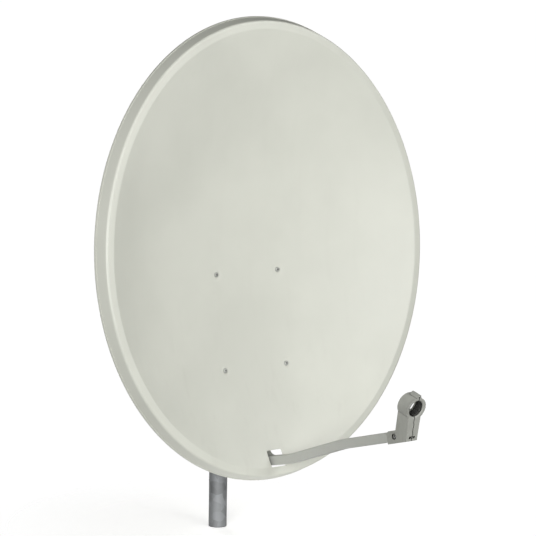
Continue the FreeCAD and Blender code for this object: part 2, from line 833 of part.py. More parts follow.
def holder_halves():
    body = holder_body()
    left = body.common(split_tool(-halves_gap / 2))
    right = body.cut(split_tool(halves_gap / 2))
    crown = neck_radius + ring_wall
    top, under = crown + catch_rise, crown + 0.6 * catch_rise
    hook = ring_prism([(-6.8, crown + 0.1), (0.6, top), (5.2, top), (5.2, under), (-1, under),
                       (-1, crown - 3), (-4.5, crown - 3)], catch_length)
    ridge = ring_prism([(2.8, crown - 2), (8, crown - 2.4), (7, under - 0.6), (2.8, under - 0.6)],
                       catch_length)
    return left.fuse(hook).removeSplitter(), right.fuse(ridge).removeSplitter()


def holder_fasteners():
    bolt = holder_bolt_place()
    seat = stem_half_foot - holder_recess_depth
    reach = 2 * seat + nut_height * holder_bolt_diameter + 1
    screw = hex_bolt(bolt - X * seat, X, holder_bolt_diameter, reach)
    return screw, nut(bolt + X * seat, X, holder_bolt_diameter)


# ---- Mast bracket, clamps and the bolts that stay with it (drawn in world axes)

def mast_tube():
    outer = cylinder(mast_radius, Vector(0, 0, 0), Z, mast_top)
    return outer.cut(cylinder(mast_radius - mast_wall, Vector(0, 0, 0), Z, mast_top))


def mast_cap():
    low = mast_top - cap_depth
    outer = cylinder(mast_radius + cap_wall, Vector(0, 0, low), Z, cap_depth + cap_wall)
    crown = [edge for edge in outer.Edges
             if edge.CenterOfMass.z > mast_top + cap_wall / 2 and edge.Closed]
    socket = cylinder(mast_radius + 0.05, Vector(0, 0, low), Z, cap_depth)
    return outer.makeFillet(0.8 * cap_wall, crown).cut(socket)


def clamp_levels():
    return [upper_clamp_z, lower_clamp_z]


def lock_place():
    lean = math.radians(slot_lean)
    return Vector(0, -pivot_forward + slot_radius * math.sin(lean),
                  pivot_z + slot_radius * math.cos(lean))


def mast_bracket():
    """Channel: web against the saddles, two flanges forward to the pivot."""
    height = bracket_top - bracket_bottom
    web = Part.makeBox(2 * bracket_half, bracket_sheet, height,
                       Vector(-bracket_half, -bracket_front, bracket_bottom))
    lock = lock_place()
    margin = rod_radius + 10
    low_y, low_z = -pivot_forward - margin - 2, pivot_z - margin - 6
    corners = [(-bracket_back, bracket_bottom), (-bracket_front - 8, bracket_bottom),
               (low_y + 6, low_z), (low_y, low_z + 6), (low_y, pivot_z + 6),
               (lock.y - margin, lock.z + 2), (lock.y - margin + 6, lock.z + margin),
               (-bracket_back, lock.z + margin)]
    outline = [Vector(0, y, z) for y, z in corners]
    body = web
    for side in (-1, 1):
        start = X * (bracket_half - bracket_sheet if side > 0 else -bracket_half)
        body = body.fuse(prism([point + start for point in outline], X * bracket_sheet))
    for place in (Vector(0, -pivot_forward, pivot_z), lock):
        radius = rod_radius + pivot_clearance
        body = body.cut(cylinder(radius, place - X * 100, X, 200))
    for level in clamp_levels():
        for side in (-1, 1):
            body = body.cut(cylinder(rod_radius + screw_clearance,
                                     Vector(side * ubolt_radius, 0, level), Y * -1, 100))
    return body.removeSplitter()


def saddle(level):
    """Block between bracket and mast, with a toothed seat for the mast."""
    half = ubolt_radius + washer_radius
    body = Part.makeBox(2 * half, saddle_thickness, saddle_height,
                        Vector(-half, -bracket_back, level - saddle_height / 2))
    seat = mast_radius + slip_gap
    body = body.cut(cylinder(seat, Vector(0, 0, level - 50), Z, 100))
    low = Z * (level - saddle_height / 2)
    for step in range(-5, 6):
        turn = math.radians(saddle_tooth_pitch * step)
        root = Vector(math.sin(turn), -math.cos(turn), 0)
        across = Vector(math.cos(turn), math.sin(turn), 0) * (0.8 * saddle_tooth)
        notch = [low + root * (seat - 1) + across, low + root * (seat - 1) - across,
                 low + root * (seat + saddle_tooth)]
        body = body.cut(prism(notch, Z * saddle_height))
    for side in (-1, 1):
        body = body.cut(cylinder(rod_radius + screw_clearance,
                                 Vector(side * ubolt_radius, 0, level), Y * -1, 100))
    return body


def clamp_reach():
    """Distance from the mast's axis to the threaded ends of a U-bolt."""
    return bracket_front + washer_thickness + nut_height * rod_diameter + bolt_end


def u_bolt(level):
    reach = clamp_reach()
    left = Vector(-ubolt_radius, 0, level)
    right = Vector(ubolt_radius, 0, level)
    path = Part.Wire([Part.makeLine(left - Y * reach, left),
                      Part.Arc(left, Vector(0, ubolt_radius, level), right).toShape(),
                      Part.makeLine(right, right - Y * reach)])
    section = Part.Wire(Part.makeCircle(rod_radius, left - Y * reach, Y))
    return path.makePipeShell([section], True, False)


def clamp_fasteners():
    washers, nuts = [], []
    for level in clamp_levels():
        for side in (-1, 1):
            start = Vector(side * ubolt_radius, -bracket_front, level)
            washers.append(washer(start, Y * -1, rod_diameter))
            nuts.append(nut(start - Y * washer_thickness, Y * -1, rod_diameter))
    return washers, nuts


def side_fasteners(place):
    """A bolt, washer and nut through bracket and cheek on each side."""
    bolts, washers, nuts = [], [], []
    seat = bracket_half - bracket_sheet
    outer = cheek_outer + slip_gap
    for side in (-1, 1):
        start = place + X * side * seat
        length = outer - seat + washer_thickness + nut_height * rod_diameter + bolt_end
        bolts.append(hex_bolt(start, X * side, rod_diameter, length))
        washers.append(washer(place + X * side * outer, X * side, rod_diameter))
        nuts.append(nut(place + X * side * (outer + washer_thickness), X * side, rod_diameter))
    return bolts, washers, nuts


# ---- Write every piece

def on_dish(shapes):
    return [to_world(shape) for shape in shapes]


def main():
    os.makedirs("parts", exist_ok=True)
    save("mast_tube", [mast_tube()])
    save("mast_cap", [mast_cap()])
    save("mast_bracket", [mast_bracket()])
    for name, level in zip(("upper", "lower"), clamp_levels()):
        save("saddle_" + name, [saddle(level)])
        save("u_bolt_" + name, [u_bolt(level)])
    washers, nuts = clamp_fasteners()
    save("u_bolt_washers", washers)
    save("u_bolt_nuts", nuts)
    for name, place in (("pivot", Vector(0, -pivot_forward, pivot_z)), ("lock", lock_place())):
        bolts, washers, nuts = side_fasteners(place)
        save(name + "_bolts", bolts)
        save(name + "_washers", washers)
        save(name + "_nuts", nuts)
    save("reflector", on_dish([reflector()]))
    save("reflector_screws", on_dish(reflector_screws()))
    save("reflector_nuts", on_dish(reflector_nuts()))
    save("mounting_plate", on_dish([mounting_plate()]))
    save("left_cheek", on_dish([cheek(-1)]))
    save("right_cheek", on_dish([cheek(1)]))
    bolts, nuts = cheek_fasteners()
    save("cheek_bolts", on_dish(bolts))
    save("cheek_nuts", on_dish(nuts))
    save("feed_arm", on_dish([feed_arm()]))
    bolts, nuts = arm_fasteners()
    save("arm_bolts", on_dish(bolts))
    save("arm_nuts", on_dish(nuts))
    left, right = holder_halves()
    save("holder_left", on_dish([left]))
    save("holder_right", on_dish([right]))
    screw, screw_nut = holder_fasteners()
    save("holder_bolt", on_dish([screw]))
    save("holder_nut", on_dish([screw_nut]))


main()
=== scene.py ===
# Offset satellite dish on a short mast: finishes, pressed detail, light and camera around the CAD frame.
import math

import bmesh
import bpy
from mathutils import Matrix, Vector
from mathutils.geometry import delaunay_2d_cdt


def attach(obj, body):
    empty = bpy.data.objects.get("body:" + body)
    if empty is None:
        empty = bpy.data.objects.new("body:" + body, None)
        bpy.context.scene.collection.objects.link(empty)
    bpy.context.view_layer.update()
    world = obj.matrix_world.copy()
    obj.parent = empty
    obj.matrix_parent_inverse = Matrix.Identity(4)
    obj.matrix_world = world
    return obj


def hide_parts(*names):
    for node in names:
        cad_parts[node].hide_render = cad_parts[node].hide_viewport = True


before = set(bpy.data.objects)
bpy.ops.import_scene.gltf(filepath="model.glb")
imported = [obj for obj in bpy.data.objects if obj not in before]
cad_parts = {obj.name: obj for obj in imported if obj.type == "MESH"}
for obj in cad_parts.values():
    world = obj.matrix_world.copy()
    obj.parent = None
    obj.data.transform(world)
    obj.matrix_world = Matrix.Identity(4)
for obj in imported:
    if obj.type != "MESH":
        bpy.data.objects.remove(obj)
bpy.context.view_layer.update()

print("frame loaded:", len(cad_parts), "CAD nodes")


# Wires: one socket of a node tree; arithmetic on it adds Math nodes
class Wire:
    def __init__(self, tree, socket=None):
        self.tree, self.socket = tree, socket

    def node(self, kind, settings, sockets, output=0):
        made = self.tree.nodes.new(kind)
        for name, value in settings.items():
            setattr(made, name, value)
        for name, value in sockets.items():
            if isinstance(value, Wire):
                self.tree.links.new(value.socket, made.inputs[name])
            else:
                made.inputs[name].default_value = value
        return Wire(self.tree, made.outputs[output] if made.outputs else None)

    def also(self, output):  # another output of the node that this wire comes from
        return Wire(self.tree, self.socket.node.outputs[output])

    def maths(self, operation, *values):
        return self.node("ShaderNodeMath", {"operation": operation}, dict(enumerate(values)))

    def __add__(self, other):
        return self.maths("ADD", self, other)

    def __sub__(self, other):
        return self.maths("SUBTRACT", self, other)

    def __rsub__(self, other):
        return self.maths("SUBTRACT", other, self)

    def __mul__(self, other):
        return self.maths("MULTIPLY", self, other)

    def __truediv__(self, other):
        return self.maths("DIVIDE", self, other)

    __radd__ = __add__
    __rmul__ = __mul__


def smoothStep(value, low, high):
    return value.node("ShaderNodeMapRange", {"interpolation_type": "SMOOTHSTEP"},
                      {"Value": value, "From Min": low, "From Max": high})


def blendColour(factor, first, second):
    return factor.node("ShaderNodeMix", {"data_type": "RGBA"}, {0: factor, 6: first, 7: second}, 2)


# Finishes: every material starts here and reads Object coordinates
def newFinish(name, **uniform):
    material = bpy.data.materials.new(name)
    material.use_nodes = True
    shader = material.node_tree.nodes["Principled BSDF"]
    for socket, value in uniform.items():
        shader.inputs[socket.replace("_", " ")].default_value = value
    return material, shader, Wire(material.node_tree).node("ShaderNodeTexCoord", {}, {}, "Object")


def noiseOn(coords, scale, detail=3.0, roughness=0.5, stretch=(1, 1, 1)):
    placed = coords.node("ShaderNodeMapping", {}, {"Vector": coords, "Scale": stretch})
    return coords.node("ShaderNodeTexNoise", {},
                       {"Vector": placed, "Scale": scale, "Detail": detail, "Roughness": roughness})


def plug(wire, shader, socket):
    wire.tree.links.new(wire.socket, shader.inputs[socket])


def bumpInto(shader, height, distance, strength=1.0, edge=0.0):
    # edge rounds the look of sharp corners, in metres
    sockets = {"Height": height, "Distance": distance, "Strength": strength}
    if edge:
        sockets["Normal"] = height.node("ShaderNodeBevel", {"samples": 6}, {"Radius": edge})
    plug(height.node("ShaderNodeBump", {}, sockets), shader, "Normal")


def creviceShadeMask(coords, reach, full, none):
    # 1 deep in gaps, bores and recesses, where shade falls, and 0 on open faces; it masks painted shade
    openness = coords.node("ShaderNodeAmbientOcclusion", {"samples": 12}, {"Distance": reach}, "AO")
    return 1 - smoothStep(openness, full, none)


# Each look's darkest colour is painted shade, laid into crevices and round screw heads
paintLooks = {
    "reflectorPaint": {"light": (0.645, 0.655, 0.585, 1), "shade": (0.585, 0.595, 0.53, 1),
                       "dust": (0.47, 0.46, 0.41, 1), "roughness": 0.36, "peel": 0.00012,
                       "paintedShade": (0.10, 0.10, 0.08, 1), "creviceReach": 0.0022},
    "armPaint": {"light": (0.49, 0.50, 0.465, 1), "shade": (0.43, 0.44, 0.405, 1),
                 "dust": (0.38, 0.37, 0.34, 1), "roughness": 0.42, "peel": 0.0001,
                 "paintedShade": (0.05, 0.05, 0.04, 1), "creviceReach": 0.006},
}


# Painted shade in the paint's crevices: occlusion levels for full and no darkening, and its strength
paintCreviceShade = {"full": 0.35, "none": 0.75, "amount": 0.75}
paintWear = {"patchScale": 2.6, "streakScale": 34, "streakStretch": (1, 1, 0.05), "speckScale": 210,
             "peelScale": 520, "dirtyBelow": 0.2, "cleanAbove": 0.75}  # the last two are heights
plasticWear = {"flowScale": 38, "grainScale": 1900, "scuffScale": 120, "relief": 0.00008}
# Painted shade in the plastic's bores and gaps: occlusion levels and strength
plasticCreviceShade = {"full": 0.5, "none": 0.82, "amount": 0.97}


def makePaint(name, look):
    material, shader, coords = newFinish(name, Specular_IOR_Level=0.5)
    patches = noiseOn(coords, paintWear["patchScale"], 4)
    streaks = noiseOn(coords, paintWear["streakScale"], 4, 0.6, paintWear["streakStretch"])
    specks = smoothStep(noiseOn(coords, paintWear["speckScale"], 2), 0.7, 0.82)
    height = coords.node("ShaderNodeSeparateXYZ", {}, {0: coords}, "Z")
    low = 1 - smoothStep(height, paintWear["dirtyBelow"], paintWear["cleanAbove"])
    colour = blendColour(smoothStep(patches, 0.3, 0.7), look["shade"], look["light"])
    dirt = smoothStep(streaks, 0.52, 0.8) * (0.05 + 0.13 * low) + specks * 0.16
    # Painted shade: crevices, gaps and the rings round screw heads are darkened
    paintedShade = creviceShadeMask(coords, look["creviceReach"], paintCreviceShade["full"], paintCreviceShade["none"])
    dusty = blendColour(dirt, colour, look["dust"])
    plug(blendColour(paintedShade * paintCreviceShade["amount"], dusty, look["paintedShade"]), shader, "Base Color")
    plug(look["roughness"] + 0.1 * patches + 0.25 * dirt, shader, "Roughness")
    peel = noiseOn(coords, paintWear["peelScale"], 3, 0.55)
    bumpInto(shader, peel + 0.6 * specks, look["peel"], 0.6)
    return material


# Each plastic's darkest colour is painted shade for bores, gaps and recesses
plasticLooks = {
    "greyPlastic": {"light": (0.375, 0.38, 0.345, 1), "shade": (0.32, 0.325, 0.295, 1), "roughness": 0.5,
                    "edge": 0.0009, "paintedShade": (0.008, 0.008, 0.007, 1), "creviceReach": 0.045},
    "blackPlastic": {"light": (0.03, 0.03, 0.032, 1), "shade": (0.018, 0.018, 0.019, 1), "roughness": 0.45,
                     "edge": 0.0008, "paintedShade": (0.01, 0.01, 0.01, 1), "creviceReach": 0.01},
}


def makePlastic(name, look):
    material, shader, coords = newFinish(name, Specular_IOR_Level=0.45)
    flow = noiseOn(coords, plasticWear["flowScale"], 5, 0.6, (1, 1, 0.35))
    grain = noiseOn(coords, plasticWear["grainScale"], 2)
    scuffs = smoothStep(noiseOn(coords, plasticWear["scuffScale"], 4, 0.7, (1, 0.2, 1)), 0.62, 0.78)
    colour = blendColour(smoothStep(flow, 0.3, 0.7), look["shade"], look["light"])
    # Painted shade: bores, gaps and recesses go nearly black; the same mask also roughens them
    paintedShade = creviceShadeMask(coords, look["creviceReach"], plasticCreviceShade["full"], plasticCreviceShade["none"])
    plug(blendColour(paintedShade * plasticCreviceShade["amount"], colour, look["paintedShade"]), shader, "Base Color")
    plug(look["roughness"] + 0.12 * flow + 0.12 * scuffs - 0.06 * grain + 0.3 * paintedShade, shader, "Roughness")
    bumpInto(shader, grain + 0.5 * scuffs, plasticWear["relief"], 0.7, look["edge"])
    return material


zincLooks = {
    "galvanisedTube": {"light": (0.35, 0.363, 0.37, 1), "shade": (0.225, 0.23, 0.235, 1),
                       "spangle": 46, "roughness": 0.58, "edge": 0.0005},
    "galvanisedSheet": {"light": (0.66, 0.67, 0.675, 1), "shade": (0.47, 0.48, 0.49, 1),
                        "spangle": 74, "roughness": 0.34, "edge": 0.0006},
    "zincPlate": {"light": (0.72, 0.73, 0.73, 1), "shade": (0.60, 0.585, 0.53, 1),
                  "spangle": 210, "roughness": 0.27, "edge": 0.0003},
    "screwZinc": {"light": (0.52, 0.525, 0.50, 1), "shade": (0.44, 0.445, 0.42, 1),
                  "spangle": 230, "roughness": 0.5, "edge": 0.0002},
    "holderZinc": {"light": (0.74, 0.74, 0.735, 1), "shade": (0.60, 0.60, 0.58, 1),
                   "spangle": 240, "roughness": 0.24, "edge": 0.0003},
}


zincWear = {"wobble": 0.006, "bloomScale": 16, "scratchScale": 90, "grainScale": 700, "relief": 0.00012}
# Painted shade in the fasteners' crevices: its colour, reach and strength
zincCreviceShade = {"colour": (0.03, 0.028, 0.022, 1), "reach": 0.006, "full": 0.3, "none": 0.75, "amount": 0.85}


def makeZinc(name, look):
    material, shader, coords = newFinish(name, Metallic=1.0)
    shift = noiseOn(coords, look["spangle"], 2).also("Color")
    wobble = coords.node("ShaderNodeVectorMath", {"operation": "MULTIPLY_ADD"},
                         {0: shift, 1: (zincWear["wobble"],) * 3, 2: coords})
    cells = coords.node("ShaderNodeTexVoronoi", {}, {"Vector": wobble, "Scale": look["spangle"]}, "Color")
    crystal = coords.node("ShaderNodeSeparateColor", {}, {0: cells}, 0)
    bloom = noiseOn(coords, zincWear["bloomScale"], 5, 0.65)
    mixed = smoothStep(0.55 * crystal + 0.45 * bloom, 0.15, 0.8)
    # Painted shade: crevices round heads, nuts and washers are darkened
    paintedShade = creviceShadeMask(coords, zincCreviceShade["reach"], zincCreviceShade["full"], zincCreviceShade["none"])
    metal = blendColour(mixed, look["shade"], look["light"])
    plug(blendColour(paintedShade * zincCreviceShade["amount"], metal, zincCreviceShade["colour"]), shader, "Base Color")
    scratches = smoothStep(noiseOn(coords, zincWear["scratchScale"], 3, 0.6, (1, 1, 0.06)), 0.6, 0.75)
    plug(look["roughness"] + 0.16 * bloom + 0.08 * crystal - 0.05 * scratches, shader, "Roughness")
    grain = noiseOn(coords, zincWear["grainScale"], 2)
    relief = 0.4 * crystal + bloom + 0.3 * grain - 0.3 * scratches
    bumpInto(shader, relief, zincWear["relief"], 0.6, look["edge"])
    return material


finishes = {name: makePaint(name, look) for name, look in paintLooks.items()}
finishes.update({name: makePlastic(name, look) for name, look in plasticLooks.items()})
finishes.update({name: makeZinc(name, look) for name, look in zincLooks.items()})
slotFinish = {"reflector_paint": "reflectorPaint", "arm_paint": "armPaint", "grey_plastic": "greyPlastic",
              "black_plastic": "blackPlastic", "galvanised_tube": "galvanisedTube",
              "galvanised_sheet": "galvanisedSheet", "zinc_fasteners": "zincPlate",
              "holder_fasteners": "holderZinc"}
for name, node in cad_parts.items():
    for place in node.material_slots:
        place.material = finishes[slotFinish[place.material.name.split(".")[0]]]
print("finishes made:", len(finishes))


weldReach = 1e-6  # corners nearer than this are one corner


# Geometry Nodes: a tree with named inputs, run on an object and turned into a plain mesh
socketKinds = {float: "NodeSocketFloat", bpy.types.Material: "NodeSocketMaterial",
               bpy.types.Object: "NodeSocketObject"}


def newTree(name, sizes):
    tree = bpy.data.node_groups.new(name, "GeometryNodeTree")
    tree.interface.new_socket("Geometry", in_out="INPUT", socket_type="NodeSocketGeometry")
    for label, value in sizes.items():
        tree.interface.new_socket(label, in_out="INPUT", socket_type=socketKinds[type(value)])
    tree.interface.new_socket("Geometry", in_out="OUTPUT", socket_type="NodeSocketGeometry")
    return Wire(tree).node("NodeGroupInput", {}, {})


def closeTree(geometry, finish):
    real = geometry.node("GeometryNodeRealizeInstances", {}, {0: geometry})
    painted = geometry.node("GeometryNodeSetMaterial", {}, {"Geometry": real, "Material": finish})
    geometry.node("NodeGroupOutput", {}, {0: painted})


def runTree(piece, tree, sizes):
    modifier = piece.modifiers.new(tree.name, "NODES")
    modifier.node_group = tree
    for item in tree.interface.items_tree:
        if item.in_out == "INPUT" and item.name in sizes:
            modifier[item.identifier] = sizes[item.name]
    graph = bpy.context.evaluated_depsgraph_get()
    mesh = bpy.data.meshes.new_from_object(piece.evaluated_get(graph))
    piece.modifiers.clear()
    piece.data = mesh


def newPiece(name, mesh):
    piece = bpy.data.objects.new(name, mesh)
    bpy.context.scene.collection.objects.link(piece)
    return piece


# Reflector: a flat sheet with its holes, lifted on to the paraboloid, and a rolled rim round it
bowl = {
    "halfWidth": 0.5, "focalLength": 0.5, "rimTilt": math.radians(3.9), "rimCentre": (0, -0.21, 0.76),
    "sheet": 0.001, "lipWidth": 0.016, "bendRadius": 0.007, "skirtDepth": 0.035, "skirtFlare": 0.357,
    "hemWidth": 0.006, "creaseSoftness": 0.0003, "rimPoints": 480, "gridStep": 0.012,
    "screwSpan": (0.205, 0.245), "screwDrop": 0.184, "screwHole": 0.0033,
    "dimpleDepth": 0.0007, "dimpleRadius": 0.019,
    "rowShare": 0.866, "widestColumn": 60, "lipSteps": (0.0008, 0.0018, 0.0035, 0.007),
    "openingSize": (0.048, 0.041), "openingMargin": 0.002, "openingCorner": 0.004,
}
rimAngle = math.atan2(bowl["halfWidth"], 2 * bowl["focalLength"])
halfHeight = bowl["halfWidth"] / math.cos(rimAngle)
screwCentres = [(a * bowl["screwSpan"][0] / 2, b * bowl["screwSpan"][1] / 2 - bowl["screwDrop"])
                for a in (-1, 1) for b in (-1, 1)]


def ringOf(centre, radiusX, radiusZ, count, turn=0.0):
    angles = [2 * math.pi * (step + turn) / count for step in range(count)]
    return [(centre[0] + radiusX * math.cos(a), centre[1] + radiusZ * math.sin(a)) for a in angles]


def openingLoop(grow):
    width, height = bowl["openingSize"]
    corner = bowl["openingCorner"] + grow
    low = bowl["openingMargin"] - halfHeight - grow
    left, right, top = -width / 2 - grow, width / 2 + grow, low + height + 2 * grow
    centres = [(right - corner, top - corner), (left + corner, top - corner),
               (left + corner, low + corner), (right - corner, low + corner)]
    turned = [(x + corner * math.cos(math.radians(90 * quarter + 15 * step)),
               z + corner * math.sin(math.radians(90 * quarter + 15 * step)))
              for quarter, (x, z) in enumerate(centres) for step in range(7)]
    loop = []
    for first, second in zip(turned, turned[1:] + turned[:1]):
        parts = max(1, round(math.dist(first, second) / 0.0025))
        loop += [(first[0] + (second[0] - first[0]) * k / parts,
                  first[1] + (second[1] - first[1]) * k / parts) for k in range(parts)]
    return loop


def insideRim(x, z, margin):
    return (x / (bowl["halfWidth"] - margin)) ** 2 + (z / (halfHeight - margin)) ** 2 < 1


def insideOpening(x, z, grow):
    low = bowl["openingMargin"] - halfHeight
    return (abs(x) < bowl["openingSize"][0] / 2 + grow
            and low - grow < z < low + bowl["openingSize"][1] + grow)


def flatPoints():
    loops = [ringOf((0, 0), bowl["halfWidth"], halfHeight, bowl["rimPoints"]), openingLoop(0)]
    loops += [ringOf(centre, bowl["screwHole"], bowl["screwHole"], 32) for centre in screwCentres]
    loose = []
    for inset in bowl["lipSteps"]:
        ring = ringOf((0, 0), bowl["halfWidth"] - inset, halfHeight - inset, bowl["rimPoints"], 0.5)
        loose += [p for p in ring if not insideOpening(*p, 0.003)]
    for grow in (0.003, 0.007):
        loose += [p for p in openingLoop(grow) if insideRim(*p, 0.009)]
    for centre in screwCentres:
        for step in range(1, 13):
            radius = bowl["screwHole"] + 0.0018 * step
            loose += ringOf(centre, radius, radius, 40, 0.5 * (step % 2))
    step = bowl["gridStep"]
    rows = int(halfHeight / (step * bowl["rowShare"])) + 1
    for row in range(-rows, rows + 1):
        for column in range(-bowl["widestColumn"], bowl["widestColumn"] + 1):
            x, z = step * (column + 0.5 * (row % 2)), step * bowl["rowShare"] * row
            clearOfScrews = all(math.dist((x, z), c) > bowl["screwHole"] + 0.028 for c in screwCentres)
            if insideRim(x, z, 0.014) and clearOfScrews and not insideOpening(x, z, 0.013):
                loose.append((x, z))
    return loops, loose


def flatSheet():
    loops, loose = flatPoints()
    points, edges, starts = [], [], []
    for loop in loops:
        first = len(points)
        starts.append((first, len(loop)))
        points += loop
        edges += [(first + k, first + (k + 1) % len(loop)) for k in range(len(loop))]
    points += loose
    made = delaunay_2d_cdt([Vector(p) for p in points], edges, [], 0, 1e-7)
    corners, triangles, origins = made[0], made[2], made[3]
    kept = []
    for triangle in triangles:
        x, z = sum((corners[k] for k in triangle), Vector((0, 0))) / 3
        inHole = any(math.dist((x, z), c) < bowl["screwHole"] for c in screwCentres)
        if not inHole and not insideOpening(x, z, 0):
            kept.append(triangle)
    place = {source: k for k, sources in enumerate(origins) for source in sources}
    rings = [[place[first + k] for k in range(count)] for first, count in starts]
    return corners, kept, rings


def slabMesh(corners, triangles, rings):
    # Y is 0 on the front and 1 on the back; the tree turns that into the sheet's thickness
    count = len(corners)
    spots = [(c.x, 0, c.y) for c in corners] + [(c.x, 1, c.y) for c in corners]
    faces = [tuple(t) for t in triangles] + [tuple(k + count for k in reversed(t)) for t in triangles]
    for ring in rings[1:]:
        for a, b in zip(ring, ring[1:] + ring[:1]):
            faces.append((b, a, a + count, b + count))
    mesh = bpy.data.meshes.new("reflector_detail")
    mesh.from_pydata(spots, [], faces)
    return mesh, count


def bowlSurface(size, dimpled):
    # Place and normal of the bowl's face over each point's X and Z, in the rim's own frame
    spot = size["Focal length"].node("GeometryNodeInputPosition", {}, {})
    x = spot.node("ShaderNodeSeparateXYZ", {}, {0: spot}, "X")
    z = x.also("Z")
    sine, cosine = x.maths("SINE", size["Rim angle"]), x.maths("COSINE", size["Rim angle"])
    quarter = sine / (4 * size["Focal length"])
    inner = cosine * cosine - 4 * quarter * (x * x * quarter - size["Half height"] - z)
    reach = (x.maths("SQRT", inner) - cosine) / (2 * quarter)
    rise = (reach * reach + x * x) / (4 * size["Focal length"])
    depth = reach * sine - rise * cosine
    if dimpled:
        softness = size["Crease softness"]
        depth = (depth + x.maths("SQRT", depth * depth + 4 * softness * softness)) * 0.5
        across = x.maths("ABSOLUTE", x) - size["Screw span X"] * 0.5
        upwards = x.maths("ABSOLUTE", z + size["Screw drop"]) - size["Screw span Z"] * 0.5
        fromScrew = x.maths("SQRT", across * across + upwards * upwards) / size["Dimple radius"]
        dimple = smoothStep(fromScrew, 0.36, 0.55) * (1 - smoothStep(fromScrew, 0.62, 1.0))
        depth = depth + dimple * size["Dimple depth"]
    twice = 2 * size["Focal length"]
    normal = x.node("ShaderNodeCombineXYZ", {}, {0: -1 * x, 1: -1 * (reach * sine + twice * cosine),
                                                 2: twice * sine - reach * cosine})
    normal = x.node("ShaderNodeVectorMath", {"operation": "NORMALIZE"}, {0: normal})
    return x.node("ShaderNodeCombineXYZ", {}, {0: x, 1: depth, 2: z}), normal, x.also("Y")


bowlSizes = {"Focal length": bowl["focalLength"], "Half height": halfHeight, "Rim angle": rimAngle,
             "Screw span X": bowl["screwSpan"][0], "Screw span Z": bowl["screwSpan"][1],
             "Screw drop": bowl["screwDrop"]}


def bowlTree(sizes):
    start = newTree("bowlRule", sizes)
    size = {name: start.also(name) for name in sizes}
    surface, normal, depthShare = bowlSurface(size, True)
    inset = start.node("ShaderNodeVectorMath", {"operation": "SCALE"},
                       {0: normal, "Scale": -1 * depthShare * size["Sheet"]})
    lifted = start.node("ShaderNodeVectorMath", {"operation": "ADD"}, {0: surface, 1: inset})
    moved = start.node("GeometryNodeSetPosition", {}, {"Geometry": start, "Position": lifted})
    closeTree(moved, size["Finish"])
    return start.tree


def rimProfile():
    # Outward and backward places of the rim's section, from the front of the lip to its back
    length = math.hypot(bowl["skirtFlare"], 1)
    down = Vector((bowl["skirtFlare"], 1)) / length
    out = Vector((1, -bowl["skirtFlare"])) / length
    centre = Vector((bowl["lipWidth"], bowl["bendRadius"]))
    sheet, radius = bowl["sheet"], bowl["bendRadius"]
    last = math.pi / 2 - math.atan(bowl["skirtFlare"])

    def onBend(size, share):
        return centre + size * Vector((math.sin(last * share), -math.cos(last * share)))

    edge = onBend(radius, 1) + down * ((bowl["skirtDepth"] - onBend(radius, 1).y) / down.y)
    hem = edge - down * bowl["hemWidth"]
    fold = edge - down * sheet
    front = [Vector((d, 0)) for d in (*bowl["lipSteps"], 0.0115)]
    front += [onBend(radius, k / 10) for k in range(11)]
    front += [onBend(radius, 1).lerp(hem, share) for share in (0.33, 0.66, 1)]
    front += [hem + out * sheet * 0.55, hem + out * sheet + down * 0.0005]
    turn = [fold + sheet * (out * math.cos(a) + down * math.sin(a))
            for a in (math.pi * k / 6 for k in range(7))]
    back = [onBend(radius - sheet, 1).lerp(turn[-1], share) for share in (0.66, 0.33)]
    back += [onBend(radius - sheet, k / 8) for k in range(8, -1, -1)]
    back += [Vector((d, sheet)) for d in (0.009, 0.003)]
    return front + turn + back


def rimSlope(x, z):
    # Steepness of the bowl where it meets the lip
    sine, cosine, focal = math.sin(rimAngle), math.cos(rimAngle), bowl["focalLength"]

    def depthAt(x, z):
        quarter = sine / (4 * focal)
        inner = cosine ** 2 - 4 * quarter * (x * x * quarter - halfHeight - z)
        reach = (math.sqrt(inner) - cosine) / (2 * quarter)
        return reach * sine - (reach ** 2 + x * x) / (4 * focal) * cosine

    step = 0.002
    size = math.hypot(x, z)
    return depthAt(x * (1 - step / size), z * (1 - step / size)) / step


def addRim(piece, ring, count):
    shape = bmesh.new()
    shape.from_mesh(piece.data)
    shape.verts.ensure_lookup_table()
    front = [shape.verts[k] for k in ring]
    back = [shape.verts[k + count] for k in ring]
    section = rimProfile()
    columns = []
    for first, last in zip(front, back):
        x, z = first.co.x, first.co.z
        outward = Vector((x / bowl["halfWidth"] ** 2, 0, z / halfHeight ** 2)).normalized()
        slope = rimSlope(x, z)
        column = [first]
        for place in section:
            lowered = 0.0
            if place.y == 0:
                fall = slope * place.x
                lowered = (math.sqrt(fall ** 2 + 4 * bowl["creaseSoftness"] ** 2) - fall) / 2
            column.append(shape.verts.new(Vector((x, place.y + lowered, z)) + outward * place.x))
        columns.append(column + [last])
    for column, following in zip(columns, columns[1:] + columns[:1]):
        for k in range(len(column) - 1):
            shape.faces.new((column[k], column[k + 1], following[k + 1], following[k]))
    bmesh.ops.remove_doubles(shape, verts=shape.verts, dist=weldReach)
    bmesh.ops.recalc_face_normals(shape, faces=shape.faces)
    shape.to_mesh(piece.data)
    shape.free()


sharpAngle = math.radians(35)


def finishPiece(piece, body, slotName, *nodes):
    piece.data.polygons.foreach_set("use_smooth", [True] * len(piece.data.polygons))
    piece.data.set_sharp_from_angle(angle=sharpAngle)
    piece.data.update()
    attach(piece, body)
    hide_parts(*nodes)
    print(piece.name, "made:", len(piece.data.polygons), "faces")


toWorld = Matrix.Translation(bowl["rimCentre"]) @ Matrix.Rotation(-bowl["rimTilt"], 4, "X")


